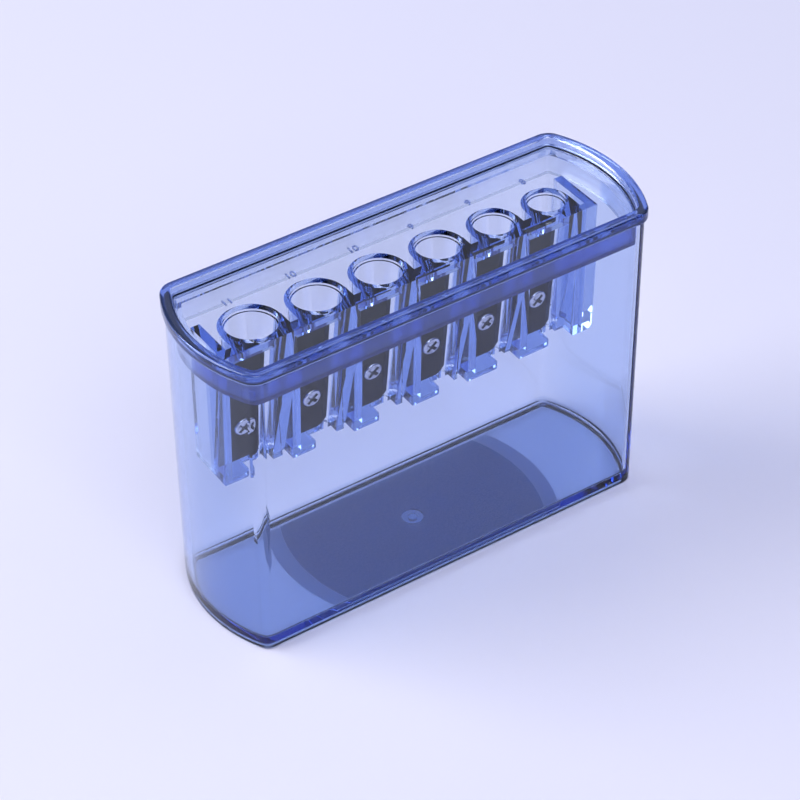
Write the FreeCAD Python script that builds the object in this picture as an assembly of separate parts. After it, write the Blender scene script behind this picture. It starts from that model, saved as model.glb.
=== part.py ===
import FreeCAD
import Part
import math
import os

# A six-hole canister pencil sharpener.  A clear container catches the shavings.  Its lid lifts off and
# carries a bank of six sharpeners, each with a steel blade held by one screw.
# Frame: +X along the long side, +Z up, origin under the middle of the container.  Millimetres.

Vec = FreeCAD.Vector

# ---- container ----
HALF_LENGTH = 46.0              # at the mouth, outside
HALF_WIDTH = 15.2
END_RADIUS = 29.0
CORNER_RADIUS = 3.0
SMALLEST_CORNER = 0.8
CONTAINER_HEIGHT = 62.75
CONTAINER_DRAFT = 0.3
WALL = 1.4
FLOOR = 2.0
FLOOR_FILLET = 1.0
BASE_EDGE = 0.7
MOUTH_EDGE = 0.3
FOOT_WIDTH = 1.8
FOOT_DEPTH = 0.5
PANEL_STEPS = ((28.2, 0.15), (25.0, 0.3))   # half length, and depth above the foot's recess
PANEL_HALF_WIDTH = 12.0
GATE_RING_RADIUS = 2.1
GATE_NUB_RADIUS = 0.9
GATE_DEPTH = 0.3

# ---- lid ----
LID_OVERHANG = 0.6
RIM_TOP = 65.1
RIM_WIDTH = 1.95
RIM_INNER_DRAFT = 0.55
RIM_EDGE = 0.6
FLANGE_EDGE = 0.3
PLATE_TOP = 63.1
PLATE_THICKNESS = 1.5
TRAY_FILLET = 0.5
PLUG_GAP = 0.3
PLUG_THICKNESS = 1.4
PLUG_BOTTOM = 57.4

# ---- sharpener bank, under the plate ----
HOLE_CENTRES = (-33.05, -19.5, -6.4, 6.4, 18.65, 30.4)
HOLE_DIAMETERS = (10.1, 9.7, 9.3, 8.9, 8.3, 7.5)
BANK_BOTTOM = 33.6
BANK_LEFT = -42.1
BANK_RIGHT = 37.9
BANK_BACK = 0.0
FRONT_AT_BOTTOM = -4.7
FRONT_AT_TOP = -5.7
FRONT_WALL = 1.6
END_WALL = 1.8
END_WALL_BACK = 5.3
CONE_SHOULDER = 0.3
CONE_TIP_RADIUS = 1.0
BLADE_BITE = 0.1                # how far the blade's bed cuts into the front of the cone
CHEEK_FROM_HOLE = -9.35         # left face of a unit's cheek
SEAT_FROM_HOLE = -7.65          # left side of the recess that the blade lies in
SEAT_TOP = 59.8
LAST_CHEEK = 33.5
LEDGE_THICKNESS = 1.2
LEDGE_END_FROM_HOLE = (-3.95, -4.1, -3.5, -3.05, -2.15, -2.1)
LEDGE_CORNER = 0.9
CHIP_SLOT = (-0.45, 1.15)       # from the hole's axis
BED_WALL = 1.2
SHELL_WALL = 0.9                # of the rounded back around each cone
SHELL_ROOT = 0.5                # how far that back runs into the bar ahead of it
GAP_CLEAR = 0.1                 # from a shell's side to the gap beside it
POCKET_TOP = 48.0
POCKET_BACK_AT_BOTTOM = -1.7
RIB_TOP = 49.0
RIB_FRONT_AT_BOTTOM = -2.9
RIB_CLEAR = 1.1
RIBBED_UNITS = 4
LAST_CORNER = 0.8               # chamfer at the foot of the last cheek

# ---- blades and screws ----
BLADE_LENGTH = 24.0
BLADE_TOP = 59.4
BLADE_THICKNESS = 0.5
BLADE_FROM_HOLE = (-7.5, -0.05)
BLADE_BEVEL = 1.2
BLADE_EDGE_THICKNESS = 0.08
BLADE_SNUB = (2.0, 1.1)
BLADE_HOLE_RADIUS = 1.2
SCREW_FROM_HOLE = -4.15
SCREW_HEIGHT = 44.3
SCREW_HEAD_RADIUS = 1.9
SCREW_HEAD_HEIGHT = 0.85
SCREW_HEAD_EDGE = 0.4
SCREW_SHANK_RADIUS = 0.95
SCREW_LENGTH = 3.2
CROSS_LENGTH = 2.6
CROSS_WIDTH = 0.7
CROSS_DEPTH = 0.6

PLATE_BOTTOM = PLATE_TOP - PLATE_THICKNESS
BANK_HEIGHT = PLATE_BOTTOM - BANK_BOTTOM
LEDGE_TOP = BANK_BOTTOM + LEDGE_THICKNESS
BELOW = BANK_BOTTOM - 1.0       # a cutter that opens the bank's underside starts here
AHEAD = -12.0                   # and one that opens its front starts here
BEHIND = BANK_BACK + 1.0        # and one that opens its back ends here
PAST = 1.0                      # reach of any other cutter past the face that it opens


def outline(inset, z):
    """The container's plan: straight sides, bowed ends and rounded corners, moved in by inset."""
    half_width = HALF_WIDTH - inset
    end_radius = END_RADIUS - inset
    corner = max(CORNER_RADIUS - inset, SMALLEST_CORNER)
    end_centre = HALF_LENGTH - END_RADIUS
    corner_y = half_width - corner
    corner_x = end_centre + math.sqrt((end_radius - corner) ** 2 - corner_y ** 2)
    toward_corner = math.atan2(corner_y, corner_x - end_centre)
    mid_angle = (toward_corner + math.pi / 2) / 2
    meet = (end_centre + end_radius * math.cos(toward_corner), end_radius * math.sin(toward_corner))
    bend = (corner_x + corner * math.cos(mid_angle), corner_y + corner * math.sin(mid_angle))
    side = (corner_x, half_width)
    tip = (HALF_LENGTH - inset, 0)

    def at(point, sx, sy):
        return Vec(point[0] * sx, point[1] * sy, z)

    edges = []
    for sx in (1, -1):
        edges.append(Part.Arc(at(meet, sx, -sx), at(tip, sx, 1), at(meet, sx, sx)).toShape())
        edges.append(Part.Arc(at(meet, sx, sx), at(bend, sx, sx), at(side, sx, sx)).toShape())
        edges.append(Part.LineSegment(at(side, sx, sx), at(side, -sx, sx)).toShape())
        edges.append(Part.Arc(at(side, -sx, sx), at(bend, -sx, sx), at(meet, -sx, sx)).toShape())
    return Part.Wire(edges)


def slab(inset, z0, z1):
    """An upright solid of the container's plan."""
    return Part.Face(outline(inset, z0)).extrude(Vec(0, 0, z1 - z0))


def drafted(inset0, z0, inset1, z1):
    """A solid of the container's plan whose sides slope from inset0 at z0 to inset1 at z1."""
    return Part.makeLoft([outline(inset0, z0), outline(inset1, z1)], True, True)


def box(x0, x1, y0, y1, z0, z1):
    return Part.makeBox(x1 - x0, y1 - y0, z1 - z0, Vec(x0, y0, z0))


def upright_cylinder(radius, x, y, z0, z1):
    return Part.makeCylinder(radius, z1 - z0, Vec(x, y, z0))


def side_prism(points, x0, x1):
    """An outline of (y, z) points, extruded from x0 to x1."""
    corners = [Vec(x0, y, z) for y, z in points]
    return Part.Face(Part.makePolygon(corners + corners[:1])).extrude(Vec(x1 - x0, 0, 0))


def front_prism(points, y0, y1):
    """An outline of (x, z) points, extruded from y0 to y1."""
    corners = [Vec(x, y0, z) for x, z in points]
    return Part.Face(Part.makePolygon(corners + corners[:1])).extrude(Vec(0, y1 - y0, 0))


def edges_at(shape, z):
    """Edges of a shape that lie wholly at height z."""
    return [e for e in shape.Edges if abs(e.BoundBox.ZMin - z) < 1e-4 and abs(e.BoundBox.ZMax - z) < 1e-4]


# ---- container ----

def floor_panel(half_length, z0, z1):
    """A shallow recess under the floor, with bowed ends."""
    strip = box(-half_length, half_length, -PANEL_HALF_WIDTH, PANEL_HALF_WIDTH, z0, z1)
    for side in (-1, 1):
        strip = strip.common(upright_cylinder(END_RADIUS, side * (half_length - END_RADIUS), 0, z0, z1))
    return strip


def make_container():
    body = drafted(CONTAINER_DRAFT, 0, 0, CONTAINER_HEIGHT)
    body = body.makeFillet(BASE_EDGE, edges_at(body, 0))
    hollow = drafted(WALL + CONTAINER_DRAFT, FLOOR, WALL, CONTAINER_HEIGHT)
    hollow = hollow.makeFillet(FLOOR_FILLET, edges_at(hollow, FLOOR))
    body = body.cut(hollow)
    body = body.makeFillet(MOUTH_EDGE, edges_at(body, CONTAINER_HEIGHT))
    body = body.cut(slab(CONTAINER_DRAFT + FOOT_WIDTH, -PAST, FOOT_DEPTH))
    for half_length, depth in PANEL_STEPS:
        body = body.cut(floor_panel(half_length, -PAST, FOOT_DEPTH + depth))
    panel_z = FOOT_DEPTH + PANEL_STEPS[-1][1]
    body = body.cut(upright_cylinder(GATE_RING_RADIUS, 0, 0, -PAST, panel_z + GATE_DEPTH))
    nub = upright_cylinder(GATE_NUB_RADIUS, 0, 0, panel_z - GATE_DEPTH, panel_z + 2 * GATE_DEPTH)
    return body.fuse(nub).removeSplitter()


# ---- sharpener bank ----

def front(z):
    """y of the bank's front face, which has draft."""
    return FRONT_AT_BOTTOM + (FRONT_AT_TOP - FRONT_AT_BOTTOM) * (z - BANK_BOTTOM) / BANK_HEIGHT


class Unit:
    """One sharpener of the bank: where its faces lie, and the cutters that shape it."""

    def __init__(self, index):
        self.x = HOLE_CENTRES[index]
        self.radius = HOLE_DIAMETERS[index] / 2
        self.slope = (self.radius - CONE_SHOULDER - CONE_TIP_RADIUS) / BANK_HEIGHT
        self.seat_x = self.x + SEAT_FROM_HOLE
        self.ledge_end = self.x + LEDGE_END_FROM_HOLE[index]
        self.chip_x = self.x + CHIP_SLOT[1]
        self.ribbed = index < RIBBED_UNITS
        self.sides = (self.x - self.radius - SHELL_WALL, self.x + self.radius + SHELL_WALL)
        after = HOLE_CENTRES[index + 1:]
        self.next_cheek = after[0] + CHEEK_FROM_HOLE if after else LAST_CHEEK

    def bed(self, z):
        """y of the bed under the blade, which just cuts into the front of the cone."""
        return BLADE_BITE - CONE_TIP_RADIUS - self.slope * (z - BANK_BOTTOM)

    def cone(self):
        """The conical cavity that the pencil turns in."""
        drop = BANK_BOTTOM - BELOW
        low = CONE_TIP_RADIUS - self.slope * drop
        return Part.makeCone(low, self.radius - CONE_SHOULDER, BANK_HEIGHT + drop, Vec(self.x, 0, BELOW))

    def shell(self):
        """The rounded back of the wall around the cone."""
        cone = Part.makeCone(
            CONE_TIP_RADIUS + SHELL_WALL, self.radius + SHELL_WALL, BANK_HEIGHT, Vec(self.x, 0, BANK_BOTTOM))
        return cone.common(box(*self.sides, -SHELL_ROOT, self.radius + PAST, BANK_BOTTOM, PLATE_BOTTOM))

    def hole(self):
        return upright_cylinder(self.radius, self.x, 0, PLATE_BOTTOM, PLATE_TOP + PAST)

    def ahead_of_bed(self, x0, x1, z0, z1):
        return side_prism(((self.bed(z0), z0), (self.bed(z1), z1), (AHEAD, z1), (AHEAD, z0)), x0, x1)

    def seat(self):
        """The recess for the blade, down to a ledge with a rounded free corner."""
        above_ledge = self.ahead_of_bed(self.seat_x, self.chip_x, LEDGE_TOP, SEAT_TOP)
        beside_ledge = self.ahead_of_bed(self.ledge_end, self.chip_x, BELOW, LEDGE_TOP)
        corner_x = self.ledge_end - LEDGE_CORNER
        corner_y = FRONT_AT_BOTTOM + LEDGE_CORNER
        square = box(corner_x, self.ledge_end, AHEAD, corner_y, BELOW, LEDGE_TOP)
        round_corner = square.cut(upright_cylinder(LEDGE_CORNER, corner_x, corner_y, BELOW, LEDGE_TOP))
        return [above_ledge, beside_ledge, round_corner]

    def chip_slot(self):
        """The way out for the shavings, from the cutting edge."""
        return box(self.x + CHIP_SLOT[0], self.chip_x, AHEAD, 0, LEDGE_TOP, SEAT_TOP)

    def pocket(self):
        """The sloping face between the chip slot and the next cheek, less the rib beside the slot."""
        face = (
            (front(POCKET_TOP), POCKET_TOP),
            (POCKET_BACK_AT_BOTTOM, BANK_BOTTOM),
            (POCKET_BACK_AT_BOTTOM, BELOW),
            (AHEAD, BELOW),
            (AHEAD, POCKET_TOP),
        )
        cutter = side_prism(face, self.chip_x, self.next_cheek)
        if not self.ribbed:
            return cutter
        rib_width = self.next_cheek - self.chip_x - RIB_CLEAR
        rib_outline = (
            (self.chip_x, RIB_TOP),
            (self.chip_x, BANK_BOTTOM),
            (self.chip_x + rib_width, BANK_BOTTOM),
        )
        rib_side = (
            (front(RIB_TOP), RIB_TOP),
            (RIB_FRONT_AT_BOTTOM, BANK_BOTTOM),
            (0, BANK_BOTTOM),
            (0, RIB_TOP),
        )
        rib = front_prism(rib_outline, AHEAD, 0)
        rib = rib.common(side_prism(rib_side, self.chip_x, self.next_cheek))
        return cutter.cut(rib)

    def gap(self, x0, x1):
        """An open-backed gap behind the bed's wall."""
        z0 = BELOW
        z1 = PLATE_BOTTOM
        face = ((self.bed(z0) + BED_WALL, z0), (self.bed(z1) + BED_WALL, z1), (BEHIND, z1), (BEHIND, z0))
        return side_prism(face, x0, x1)

    def screw_hole(self):
        depth = SCREW_LENGTH - BLADE_THICKNESS
        return self.on_bed(Part.makeCylinder(SCREW_SHANK_RADIUS, depth, Vec(0, 0, 0), Vec(0, 1, 0)))

    def on_bed(self, shape):
        """Lean a shape made around the screw's axis, its back on y = 0, against the bed."""
        return self.leaned(shape, self.x + SCREW_FROM_HOLE, SCREW_HEIGHT)

    def leaned(self, shape, x, z):
        placed = shape.copy()
        placed.rotate(Vec(0, 0, 0), Vec(1, 0, 0), math.degrees(math.atan(self.slope)))
        placed.translate(Vec(x, self.bed(z), z))
        return placed


def bank_block(units):
    """The bank before its cutters: a bar with a sloping front, two deeper end walls and the shells."""
    top = PLATE_BOTTOM + PLATE_THICKNESS / 2
    face = (
        (FRONT_AT_BOTTOM, BANK_BOTTOM),
        (front(top), top),
        (BANK_BACK, top),
        (BANK_BACK, BANK_BOTTOM),
    )
    bar = side_prism(face, BANK_LEFT, BANK_RIGHT)
    foot = (
        (BANK_RIGHT - LAST_CORNER, BANK_BOTTOM),
        (BANK_RIGHT, BANK_BOTTOM + LAST_CORNER),
        (BANK_RIGHT + PAST, BANK_BOTTOM + LAST_CORNER),
        (BANK_RIGHT + PAST, BELOW),
        (BANK_RIGHT - LAST_CORNER, BELOW),
    )
    left = box(BANK_LEFT, BANK_LEFT + END_WALL, BANK_BACK - SHELL_ROOT, END_WALL_BACK, BANK_BOTTOM, top)
    right = box(BANK_RIGHT - END_WALL, BANK_RIGHT, BANK_BACK - SHELL_ROOT, END_WALL_BACK, BANK_BOTTOM, top)
    block = bar.fuse([left, right] + [unit.shell() for unit in units])
    return block.cut(front_prism(foot, AHEAD, END_WALL_BACK + PAST))


def bank_gaps(units):
    """The open-backed gaps between the units, and inside each end wall."""
    gaps = [units[0].gap(BANK_LEFT + END_WALL, units[0].sides[0] - GAP_CLEAR)]
    for left, right in zip(units, units[1:]):
        gaps.append(right.gap(left.sides[1] + GAP_CLEAR, right.sides[0] - GAP_CLEAR))
    face = (
        (front(BELOW) + FRONT_WALL, BELOW),
        (front(PLATE_BOTTOM) + FRONT_WALL, PLATE_BOTTOM),
        (BEHIND, PLATE_BOTTOM),
        (BEHIND, BELOW),
    )
    gaps.append(side_prism(face, units[-1].sides[1] + GAP_CLEAR, BANK_RIGHT - END_WALL))
    return gaps


# ---- lid ----

def make_lid(units):
    """The tray, its rim and plug, and the bank of sharpeners, in one moulding."""
    rim = slab(-LID_OVERHANG, CONTAINER_HEIGHT, RIM_TOP)
    rim = rim.makeFillet(FLANGE_EDGE, edges_at(rim, CONTAINER_HEIGHT))
    rim_inset = RIM_WIDTH - LID_OVERHANG
    tray = drafted(rim_inset + RIM_INNER_DRAFT, PLATE_TOP, rim_inset, RIM_TOP)
    tray = tray.makeFillet(TRAY_FILLET, edges_at(tray, PLATE_TOP))
    rim = rim.cut(tray)
    rim = rim.makeFillet(RIM_EDGE, edges_at(rim, RIM_TOP))
    plug = slab(WALL + PLUG_GAP, PLUG_BOTTOM, PLATE_BOTTOM + PLATE_THICKNESS)
    plug = plug.cut(slab(WALL + PLUG_GAP + PLUG_THICKNESS, PLUG_BOTTOM, PLATE_BOTTOM))
    lid = rim.fuse([plug, bank_block(units)])
    cutters = bank_gaps(units)
    for unit in units:
        cutters += unit.seat()
        cutters += [unit.cone(), unit.hole(), unit.chip_slot(), unit.pocket(), unit.screw_hole()]
    return lid.cut(cutters).removeSplitter()


# ---- blades and screws ----

def make_blade(unit):
    """A steel plate, bevelled along its cutting edge, its lower cutting corner cut off."""
    x0 = unit.x + BLADE_FROM_HOLE[0]
    width = BLADE_FROM_HOLE[1] - BLADE_FROM_HOLE[0]
    snub_x, snub_z = BLADE_SNUB
    face = (
        (0, 0),
        (0, -BLADE_LENGTH),
        (width - snub_x, -BLADE_LENGTH),
        (width, snub_z - BLADE_LENGTH),
        (width, 0),
    )
    blade = front_prism(face, -BLADE_THICKNESS, 0)
    bevel = Part.Face(Part.makePolygon([
        Vec(width - BLADE_BEVEL, -BLADE_THICKNESS, 0),
        Vec(width, -BLADE_EDGE_THICKNESS, 0),
        Vec(width, -BLADE_THICKNESS, 0),
        Vec(width - BLADE_BEVEL, -BLADE_THICKNESS, 0),
    ])).extrude(Vec(0, 0, -BLADE_LENGTH))
    blade = unit.leaned(blade.cut(bevel), x0, BLADE_TOP)
    through = Part.makeCylinder(
        BLADE_HOLE_RADIUS, 4 * BLADE_THICKNESS, Vec(0, -2 * BLADE_THICKNESS, 0), Vec(0, 1, 0))
    return blade.cut(unit.on_bed(through))


def make_screw(unit):
    """A pan-head screw with a cross recess, its shank through the blade and into the bank."""
    under_head = -BLADE_THICKNESS
    head = Part.makeCylinder(
        SCREW_HEAD_RADIUS, SCREW_HEAD_HEIGHT, Vec(0, under_head, 0), Vec(0, -1, 0))
    crown = [e for e in head.Edges if e.BoundBox.YMax < under_head - SCREW_HEAD_HEIGHT / 2]
    head = head.makeFillet(SCREW_HEAD_EDGE, crown)
    shank = Part.makeCylinder(SCREW_SHANK_RADIUS, SCREW_LENGTH, Vec(0, under_head, 0), Vec(0, 1, 0))
    screw = head.fuse(shank)
    top = under_head - SCREW_HEAD_HEIGHT
    for turn in (45, 135):
        slot = Part.makeBox(
            CROSS_LENGTH, 2 * CROSS_DEPTH, CROSS_WIDTH,
            Vec(-CROSS_LENGTH / 2, top - CROSS_DEPTH, -CROSS_WIDTH / 2))
        slot.rotate(Vec(0, 0, 0), Vec(0, 1, 0), turn)
        screw = screw.cut(slot)
    return unit.on_bed(screw)


def build():
    units = [Unit(index) for index in range(len(HOLE_CENTRES))]
    parts = {"container": make_container(), "lid": make_lid(units)}
    for number, unit in enumerate(units, 1):
        parts[f"blade_{number}"] = make_blade(unit)
        parts[f"screw_{number}"] = make_screw(unit)
    return parts


os.makedirs("parts", exist_ok=True)
for name, shape in build().items():
    solids = len(shape.Solids)
    print(f"{name}: solids {solids}, valid {shape.isValid()}, volume {shape.Volume:.1f} mm3")
    shape.exportStep(f"parts/{name}.step")
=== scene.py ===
import bpy
import math
from mathutils import Matrix, Vector


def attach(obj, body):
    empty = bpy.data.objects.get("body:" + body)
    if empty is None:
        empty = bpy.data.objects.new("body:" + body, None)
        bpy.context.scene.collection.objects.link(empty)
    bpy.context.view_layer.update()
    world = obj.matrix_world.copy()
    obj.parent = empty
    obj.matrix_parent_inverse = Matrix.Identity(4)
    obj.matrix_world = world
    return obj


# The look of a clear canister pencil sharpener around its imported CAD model.  Metres.

MM = 0.001

# ---- camera ----
CAMERA_AZIMUTH = math.radians(-33.69)
CAMERA_ELEVATION = math.radians(39.61)
CAMERA_ROLL = math.radians(-0.617)
CAMERA_DISTANCE = 0.5499
CAMERA_PAN = (0.00202, -0.02303)
CAMERA_LENS = 128.72
SENSOR_WIDTH = 36
NEAREST_SEEN = 0.01


def add_camera():
    a, e, r = CAMERA_AZIMUTH, CAMERA_ELEVATION, CAMERA_ROLL
    back = Vector((math.sin(a) * math.cos(e), -math.cos(a) * math.cos(e), math.sin(e)))
    level = Vector((math.cos(a), math.sin(a), 0))
    upright = back.cross(level)
    right = level * math.cos(r) + upright * math.sin(r)
    up = upright * math.cos(r) - level * math.sin(r)
    place = back * CAMERA_DISTANCE - right * CAMERA_PAN[0] - up * CAMERA_PAN[1]
    data = bpy.data.cameras.new("camera")
    data.lens = CAMERA_LENS
    data.sensor_width = SENSOR_WIDTH
    data.clip_start = NEAREST_SEEN
    camera = bpy.data.objects.new("camera", data)
    camera.matrix_world = Matrix((
        (right.x, up.x, back.x, place.x),
        (right.y, up.y, back.y, place.y),
        (right.z, up.z, back.z, place.z),
        (0, 0, 0, 1)))
    bpy.context.scene.collection.objects.link(camera)
    bpy.context.scene.camera = camera


# ---- node helpers ----

class Nodes:
    """A material's or world's node tree, with short ways to add and join nodes."""

    def __init__(self, tree):
        self.tree = tree
        tree.nodes.clear()

    def add(self, kind, **values):
        node = self.tree.nodes.new(kind)
        for name, value in values.items():
            setattr(node, name, value)
        return node

    def set(self, node, **inputs):
        sockets = [node.inputs[name.replace("_", " ")] for name in inputs]
        self.fill(sockets, inputs.values())
        return node

    def link(self, out, socket):
        self.tree.links.new(out, socket)

    def fill(self, sockets, values):
        for socket, value in zip(sockets, values):
            if isinstance(value, bpy.types.NodeSocket):
                self.link(value, socket)
            elif value is not None:
                socket.default_value = value

    def noise(self, scale, detail=3.0, rough=0.5, vector=None):
        node = self.add("ShaderNodeTexNoise")
        self.set(node, Scale=scale, Detail=detail, Roughness=rough, Vector=vector)
        return node.outputs["Fac"]

    def ramp(self, value, low, high, out_low, out_high):
        node = self.add("ShaderNodeMapRange", interpolation_type="SMOOTHSTEP")
        self.set(node, From_Min=low, From_Max=high, To_Min=out_low, To_Max=out_high)
        self.link(value, node.inputs["Value"])
        return node.outputs["Result"]

    def math(self, operation, a, b=None):
        node = self.add("ShaderNodeMath", operation=operation)
        self.fill(node.inputs, (a, b))
        return node.outputs[0]

    def mix(self, factor, a, b):
        node = self.add("ShaderNodeMix", data_type="RGBA")
        self.fill((node.inputs[0], node.inputs[6], node.inputs[7]), (factor, a, b))
        return node.outputs[2]

    def place(self):
        return self.add("ShaderNodeTexCoord").outputs["Object"]

    def bump(self, height, strength, distance):
        node = self.add("ShaderNodeBump")
        self.set(node, Strength=strength, Distance=distance, Height=height)
        return node.outputs["Normal"]


def new_material(name):
    material = bpy.data.materials.new(name)
    material.use_nodes = True
    return material, Nodes(material.node_tree)


def show(n, surface):
    n.link(surface.outputs[0], n.add("ShaderNodeOutputMaterial").inputs["Surface"])


# ---- materials ----

PLASTIC_IOR = 1.47
CONTAINER_ABSORPTION = (125.0, 88.0, 24.0)      # per metre, for red, green and blue
LID_ABSORPTION = (46.0, 32.0, 8.0)
HALF_WIDTH = 15.2 * MM
END_CENTRE = 17.0 * MM
END_RADIUS = 29.0 * MM
PANEL_HALF_LENGTH = 28.2 * MM
PANEL_INNER_HALF_LENGTH = 25.0 * MM
PANEL_HALF_WIDTH = 12.0 * MM
PANEL_TOP = 1.5 * MM
FLOOR_TOP = 2.6 * MM
GATE_RADIUS = 2.1 * MM
RIM_BOTTOM = 62.7 * MM
RIM_INSET = 1.3 * MM
PLUG_INSET = 3.3 * MM
PLATE_BOTTOM = 61.55 * MM
SHELLS_FROM = 0.05 * MM
GLOSS = 0.2
CLEAR_TINT = (0.98, 0.985, 1.0, 1)
# Painted shade: the container's floor is tinted darker, standing in for the shadow inside the container.
FLOOR_SHADE_TINT = (0.70, 0.77, 0.88, 1)
# Painted shade, partly: the rim and the plug's front are tinted a darker blue than the rest of the lid,
# and the plug's lower edge is a painted dark line.
RIM_TINT_AND_SHADE = (0.22, 0.33, 0.77, 1)
PLUG_TINT_AND_SHADE = (0.15, 0.25, 0.72, 1)
PLUG_EDGE_SHADE_TINT = (0.02, 0.05, 0.26, 1)
PLUG_EDGE_TOP = 58.4 * MM
BANK_TINT = (0.34, 0.47, 0.83, 1)
END_WALL_TINT = (0.62, 0.72, 0.93, 1)
END_WALL_FROM = 34.9 * MM
PANEL_EDGE_TINT = (0.20, 0.28, 0.46, 1)
PANEL_TINTS = ((0.035, 0.075, 0.21, 1), (0.065, 0.12, 0.28, 1))
GATE_TINT = (0.26, 0.38, 0.60, 1)
# Painted shade: the container is tinted darker towards its curved ends.
END_SHADE_TINT = (0.80, 0.86, 0.96, 1)
ENDS_FROM = 40.0 * MM
ENDS_TO = 45.5 * MM
PANEL_ROUGHNESS = 0.3
RIM_ROUGHNESS = 0.14
HAZE_SCALE = 90.0
HAZE = (0.01, 0.03)
WAVE_SCALE = 60.0
WAVE_STRENGTH = 0.03
WAVE_HEIGHT = 0.4 * MM
PANEL_GRAIN_SCALE = 2500.0
RIM_MILKINESS = 0.1
PLUG_MILKINESS = 0.3


def hypotenuse(n, a, b):
    return n.math("SQRT", n.math("ADD", n.math("POWER", a, 2.0), n.math("POWER", b, 2.0)))


def xyz(n, where):
    split = n.add("ShaderNodeSeparateXYZ")
    n.link(where, split.inputs[0])
    return split.outputs


def panel_mask(n, where, half_length):
    """1 on the frosted panel under the container's floor, else 0."""
    x, y, z = xyz(n, where)
    along = n.math("ADD", n.math("ABSOLUTE", x), END_RADIUS - half_length)
    inside = n.math("LESS_THAN", hypotenuse(n, along, y), END_RADIUS)
    inside = n.math("MULTIPLY", inside, n.math("LESS_THAN", n.math("ABSOLUTE", y), PANEL_HALF_WIDTH))
    return n.math("MULTIPLY", inside, n.math("LESS_THAN", z, PANEL_TOP))


def container_surface(n, where):
    """The container's tint, extra roughness and milkiness; the tint darkens towards the ends and over
    the floor as painted shade.
    """
    x, y, z = xyz(n, where)
    outer = panel_mask(n, where, PANEL_HALF_LENGTH)
    inner = panel_mask(n, where, PANEL_INNER_HALF_LENGTH)
    gate = n.math("MULTIPLY", inner, n.math("LESS_THAN", hypotenuse(n, x, y), GATE_RADIUS))
    grain = n.ramp(n.noise(PANEL_GRAIN_SCALE, vector=where), 0.35, 0.65, 0.0, 1.0)
    near_end = n.ramp(n.math("ABSOLUTE", x), ENDS_FROM, ENDS_TO, 0.0, 1.0)
    # Painted shade: the tint darkens towards the ends and over the floor.
    tint = n.mix(near_end, CLEAR_TINT, END_SHADE_TINT)
    tint = n.mix(n.math("LESS_THAN", z, FLOOR_TOP), tint, FLOOR_SHADE_TINT)
    tint = n.mix(outer, tint, PANEL_EDGE_TINT)
    tint = n.mix(inner, tint, n.mix(grain, *PANEL_TINTS))
    frost = n.math("MULTIPLY", n.math("SUBTRACT", outer, gate), PANEL_ROUGHNESS)
    return n.mix(gate, tint, GATE_TINT), frost, 0.0


def lid_surface(n, where):
    """The lid's tint, extra roughness and milkiness, which grow on its rim and its plug's front; there
    the darker blue is partly painted shade, and the plug's lower edge gets a painted dark line.
    """
    x, y, z = xyz(n, where)
    from_side = n.math("SUBTRACT", HALF_WIDTH, n.math("ABSOLUTE", y))
    from_centre = hypotenuse(n, n.math("SUBTRACT", n.math("ABSOLUTE", x), END_CENTRE), y)
    inset = n.math("MINIMUM", from_side, n.math("SUBTRACT", END_RADIUS, from_centre))
    before_shells = n.math("LESS_THAN", y, SHELLS_FROM)
    below_plate = n.math("MULTIPLY", n.math("LESS_THAN", z, PLATE_BOTTOM), before_shells)
    above_mouth = n.math("GREATER_THAN", z, RIM_BOTTOM)
    on_rim = n.math("MULTIPLY", n.math("LESS_THAN", inset, RIM_INSET), above_mouth)
    on_plug = n.math("MULTIPLY", n.math("LESS_THAN", inset, PLUG_INSET), below_plate)
    off_front = n.math("GREATER_THAN", y, PLUG_INSET - HALF_WIDTH)
    past_front = n.math("MULTIPLY", n.math("GREATER_THAN", x, 0.0), off_front)
    on_plug = n.math("MULTIPLY", on_plug, n.math("SUBTRACT", 1.0, past_front))
    # Painted shade: the plug's front is tinted darker, with a painted dark line along its lower edge.
    plug = n.mix(n.math("LESS_THAN", z, PLUG_EDGE_TOP), PLUG_TINT_AND_SHADE, PLUG_EDGE_SHADE_TINT)
    bank = n.mix(n.math("GREATER_THAN", x, END_WALL_FROM), BANK_TINT, END_WALL_TINT)
    tint = n.mix(below_plate, CLEAR_TINT, bank)
    tint = n.mix(on_plug, tint, plug)
    frost = n.math("MULTIPLY", n.math("MAXIMUM", on_rim, on_plug), RIM_ROUGHNESS)
    rim_milk = n.math("MULTIPLY", on_rim, RIM_MILKINESS)
    plug_milk = n.math("MULTIPLY", on_plug, PLUG_MILKINESS)
    milk = n.math("ADD", rim_milk, plug_milk)
    # Painted shade, partly: the rim is tinted a darker blue.
    return n.mix(on_rim, tint, RIM_TINT_AND_SHADE), frost, milk


def clear_plastic(name, absorption, surface_look):
    """Clear plastic, coloured by its depth and a little at its surface."""
    material, n = new_material(name)
    where = n.place()
    haze = n.ramp(n.noise(HAZE_SCALE, 4.0, vector=where), 0.35, 0.75, *HAZE)
    tint, frost, milk = surface_look(n, where)
    waves = n.noise(WAVE_SCALE, 2.0, vector=where)
    surface = n.add("ShaderNodeBsdfPrincipled")
    n.set(surface, Base_Color=tint, IOR=PLASTIC_IOR, Specular_IOR_Level=GLOSS,
          Roughness=n.math("ADD", haze, frost), Transmission_Weight=n.math("SUBTRACT", 1.0, milk),
          Normal=n.bump(waves, WAVE_STRENGTH, WAVE_HEIGHT))
    density = max(absorption)
    volume = n.add("ShaderNodeVolumeAbsorption")
    n.set(volume, Color=tuple(1 - a / density for a in absorption) + (1,), Density=density)
    out = n.add("ShaderNodeOutputMaterial")
    n.link(surface.outputs[0], out.inputs["Surface"])
    n.link(volume.outputs[0], out.inputs["Volume"])
    return material


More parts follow.
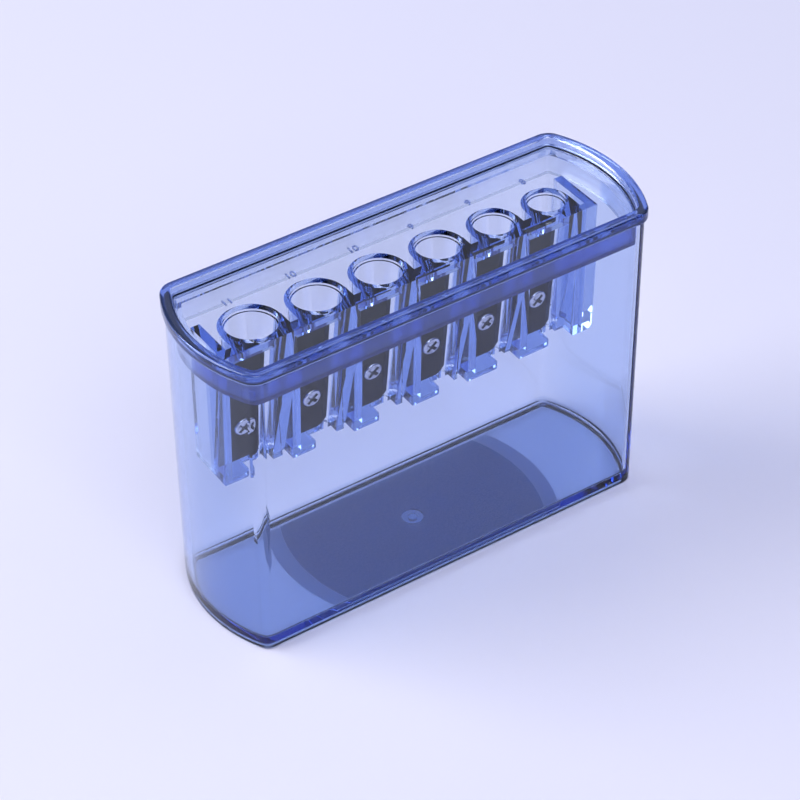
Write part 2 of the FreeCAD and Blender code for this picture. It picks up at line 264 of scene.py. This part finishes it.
STEEL_STRETCH = (1.0, 1.0, 30.0)
STEEL_GRAIN_SCALE = 700.0
STEEL_STAIN_SCALE = 300.0
STEEL_TINTS = ((0.010, 0.010, 0.012, 1), (0.022, 0.021, 0.025, 1))
STEEL_ROUGHNESS = (0.28, 0.42)
STEEL_BUMP = 0.15
STEEL_SCRATCH = 0.05 * MM


def steel(name):
    """Ground steel, its grain running across the blade."""
    material, n = new_material(name)
    where = n.place()
    stretch = n.add("ShaderNodeMapping")
    stretch.inputs["Scale"].default_value = STEEL_STRETCH
    n.link(where, stretch.inputs["Vector"])
    grain = n.noise(STEEL_GRAIN_SCALE, vector=stretch.outputs[0])
    stain = n.noise(STEEL_STAIN_SCALE, 4.0, vector=where)
    colour = n.mix(n.ramp(stain, 0.35, 0.7, 0.0, 1.0), *STEEL_TINTS)
    surface = n.add("ShaderNodeBsdfPrincipled")
    n.set(surface, Base_Color=colour, Metallic=1.0, Roughness=n.ramp(grain, 0.3, 0.7, *STEEL_ROUGHNESS),
          Normal=n.bump(grain, STEEL_BUMP, STEEL_SCRATCH))
    show(n, surface)
    return material


RECESS_REACH = 0.7 * MM
RECESS_SAMPLES = 8
# Painted shade: the colour an occlusion test paints into the screw heads' recess.
RECESS_SHADE_TINT = (0.015, 0.015, 0.03, 1)
PLATED_WEAR_SCALE = 900.0
PLATED_TINTS = ((0.80, 0.80, 0.83, 1), (0.55, 0.55, 0.58, 1))
PLATED_ROUGHNESS = (0.08, 0.16)


def plated(name):
    """Plated screws: bright heads, with painted shade dark in the recess."""
    material, n = new_material(name)
    where = n.place()
    wear = n.noise(PLATED_WEAR_SCALE, vector=where)
    # Painted shade: the occlusion test darkens the heads where they are closed in.
    open_air = n.add("ShaderNodeAmbientOcclusion", samples=RECESS_SAMPLES)
    open_air.inputs["Distance"].default_value = RECESS_REACH
    recess = n.ramp(open_air.outputs["AO"], 0.45, 0.9, 1.0, 0.0)
    flat = n.mix(n.ramp(wear, 0.4, 0.7, 0.0, 1.0), *PLATED_TINTS)
    surface = n.add("ShaderNodeBsdfPrincipled")
    n.set(surface, Base_Color=n.mix(recess, flat, RECESS_SHADE_TINT), Metallic=1.0,
          Roughness=n.ramp(wear, 0.3, 0.7, *PLATED_ROUGHNESS))
    show(n, surface)
    return material


def paint(obj, material):
    for slot in obj.material_slots:
        slot.material = material


# ---- size numerals ----

PLATE_TOP = 63.1 * MM
NUMERALS = (
    ("11", -33.6, 6.9),
    ("10", -20.3, 7.2),
    ("10", -7.0, 7.3),
    ("9", 5.4, 7.0),
    ("9", 18.1, 7.2),
    ("8", 30.1, 6.9),
)                                               # text, x and y in mm
NUMERAL_SIZE = 2.3 * MM
NUMERAL_RELIEF = 0.12 * MM
NUMERAL_TINTS = ((0.30, 0.38, 0.66, 1), (0.42, 0.50, 0.78, 1))
NUMERAL_GRAIN_SCALE = 4000.0
NUMERAL_ROUGHNESS = (0.2, 0.35)


def numeral_plastic(name):
    """The lid's plastic where it is raised and a little rough."""
    material, n = new_material(name)
    where = n.place()
    grain = n.noise(NUMERAL_GRAIN_SCALE, vector=where)
    surface = n.add("ShaderNodeBsdfPrincipled")
    n.set(surface, Base_Color=n.mix(grain, *NUMERAL_TINTS), IOR=PLASTIC_IOR, Transmission_Weight=1.0,
          Roughness=n.ramp(grain, 0.35, 0.65, *NUMERAL_ROUGHNESS))
    show(n, surface)
    return material


def add_numerals(material):
    """Raised size numerals, one behind each pencil hole."""
    for number, (text, x, y) in enumerate(NUMERALS, 1):
        curve = bpy.data.curves.new(f"numeral_{number}", "FONT")
        curve.body = text
        curve.size = NUMERAL_SIZE
        curve.extrude = NUMERAL_RELIEF
        curve.align_x = "CENTER"
        curve.align_y = "CENTER"
        drawn = bpy.data.objects.new("drawn", curve)
        bpy.context.scene.collection.objects.link(drawn)
        settled = drawn.evaluated_get(bpy.context.evaluated_depsgraph_get())
        mesh = bpy.data.meshes.new_from_object(settled)
        bpy.data.objects.remove(drawn)
        piece = bpy.data.objects.new(f"numeral_{number}", mesh)
        piece.location = (x * MM, y * MM, PLATE_TOP + NUMERAL_RELIEF / 2)
        bpy.context.scene.collection.objects.link(piece)
        mesh.materials.clear()
        mesh.materials.append(material)
        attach(piece, "lid")


# ---- stage ----

FLOOR_SIZE = 3.0
FLOOR_TONE_SCALE = 3.0
FLOOR_PAPER = ((0.80, 0.785, 0.875, 1), (0.82, 0.805, 0.895, 1))
FLOOR_ROUGHNESS = 0.9
AROUND_COLOUR = (0.12, 0.20, 0.72, 1)
AROUND_STRENGTH = 0.34
BOX_CENTRE = (0, 0, 0.03)
PLATE_CENTRE = (0, 0, 0.063)
SOFTBOXES = (
    ("key", 146.3, 40.0, 1.2, 0.85, 11.5, BOX_CENTRE),
    ("fill", 255.6, 45.0, 1.2, 0.6, 3.8, BOX_CENTRE),
    ("overhead", 325.0, 72.0, 1.6, 2.2, 12.8, BOX_CENTRE),
    ("window", 56.3, 39.6, 1.2, 0.6, 0.6, PLATE_CENTRE),
)                                               # name, heading, elevation, distance, size, power, target


def add_stage():
    bpy.ops.mesh.primitive_plane_add(size=FLOOR_SIZE, location=(0, 0, 0))
    floor = bpy.context.object
    floor.name = "floor"
    material, n = new_material("floor_paper")
    where = n.place()
    tone = n.mix(n.noise(FLOOR_TONE_SCALE, 2.0, vector=where), *FLOOR_PAPER)
    surface = n.add("ShaderNodeBsdfPrincipled")
    n.set(surface, Base_Color=tone, Roughness=FLOOR_ROUGHNESS)
    show(n, surface)
    floor.data.materials.append(material)

    world = bpy.data.worlds.new("studio")
    bpy.context.scene.world = world
    world.use_nodes = True
    n = Nodes(world.node_tree)
    background = n.add("ShaderNodeBackground")
    n.set(background, Color=AROUND_COLOUR, Strength=AROUND_STRENGTH)
    n.link(background.outputs[0], n.add("ShaderNodeOutputWorld").inputs["Surface"])


def add_softbox(name, heading, elevation, distance, size, power, target):
    """A square soft light; heading is the way to it in the floor's plane, in degrees from +X."""
    h, e = math.radians(heading), math.radians(elevation)
    place = Vector((math.cos(h) * math.cos(e), math.sin(h) * math.cos(e), math.sin(e))) * distance
    data = bpy.data.lights.new(name, "AREA")
    data.shape = "SQUARE"
    data.size = size
    data.energy = power
    light = bpy.data.objects.new(name, data)
    light.location = place
    aim = Vector(target) - place
    light.rotation_euler = aim.to_track_quat("-Z", "Y").to_euler()
    bpy.context.scene.collection.objects.link(light)


# ---- the scene ----

CLEAR_BOUNCES = 32
GLOSSY_BOUNCES = 12
DIFFUSE_BOUNCES = 4

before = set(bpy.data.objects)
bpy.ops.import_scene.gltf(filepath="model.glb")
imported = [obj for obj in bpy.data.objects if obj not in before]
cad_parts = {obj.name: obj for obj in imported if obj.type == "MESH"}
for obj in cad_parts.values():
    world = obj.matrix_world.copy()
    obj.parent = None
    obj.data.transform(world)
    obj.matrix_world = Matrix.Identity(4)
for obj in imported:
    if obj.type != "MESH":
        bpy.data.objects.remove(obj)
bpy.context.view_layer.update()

plastics = {
    "container": clear_plastic("container_plastic_look", CONTAINER_ABSORPTION, container_surface),
    "lid": clear_plastic("lid_plastic_look", LID_ABSORPTION, lid_surface),
}
blade_look = steel("blade_look")
screw_look = plated("screw_look")
for name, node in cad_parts.items():
    if name in plastics:
        paint(node, plastics[name])
    elif name.startswith("blade"):
        paint(node, blade_look)
    else:
        paint(node, screw_look)

add_numerals(numeral_plastic("numeral_look"))
add_stage()
for softbox in SOFTBOXES:
    add_softbox(*softbox)
add_camera()
scene = bpy.context.scene
scene.view_settings.view_transform = "Standard"
scene.cycles.max_bounces = CLEAR_BOUNCES
scene.cycles.transmission_bounces = CLEAR_BOUNCES
scene.cycles.glossy_bounces = GLOSSY_BOUNCES
scene.cycles.diffuse_bounces = DIFFUSE_BOUNCES
scene.cycles.blur_glossy = 0.0
scene.cycles.sample_clamp_indirect = 0.0
